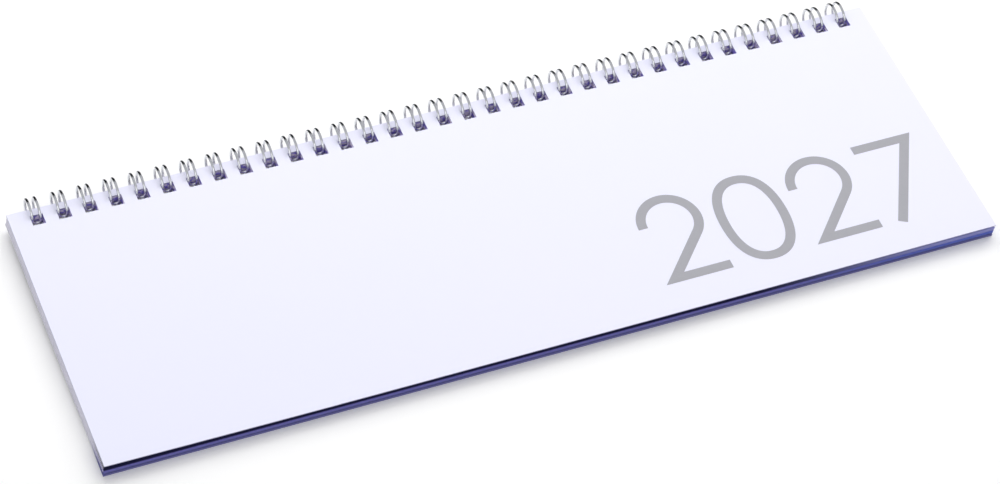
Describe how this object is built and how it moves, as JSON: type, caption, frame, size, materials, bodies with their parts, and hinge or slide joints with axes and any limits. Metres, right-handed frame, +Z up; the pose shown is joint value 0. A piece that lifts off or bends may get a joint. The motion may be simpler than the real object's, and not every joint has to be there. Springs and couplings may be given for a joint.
{
  "type": "desk calendar",
  "caption": "Landscape wire-bound desk calendar lying flat: white card cover with large plain numerals, block of leaves, back board and twin-loop wire; the cover swings over.",
  "frame": {"origin": "middle of the bottom of the whole calendar as it lies on a flat surface", "axes": "+X along the long edge, +Y from the free long edge towards the binding, +Z up"},
  "size_m": [0.2974, 0.105, 0.0097],
  "materials": {
    "cover_card": "smooth white card with a faint cool tint",
    "print_ink": "light grey print, matt",
    "leaf_paper": "stacked sheet edges, pale violet-grey",
    "back_card": "plain grey board",
    "silver_wire": "bright silver wire"
  },
  "bodies": {
    "block": {"calendar_leaves": "leaf_paper", "back_board": "back_card", "binding_wire": "silver_wire"},
    "cover": {"front_cover": "cover_card", "printed_digit_1": "print_ink", "printed_digit_2": "print_ink", "printed_digit_3": "print_ink", "printed_digit_4": "print_ink"}
  },
  "joints": [
    {"name": "front_cover_hinge", "type": "hinge", "parent": "block", "child": "cover", "pos_m": [0, 0.04768, 0.00485], "axis": [-1, 0, 0], "range_deg": [0, 180]}
  ]
}
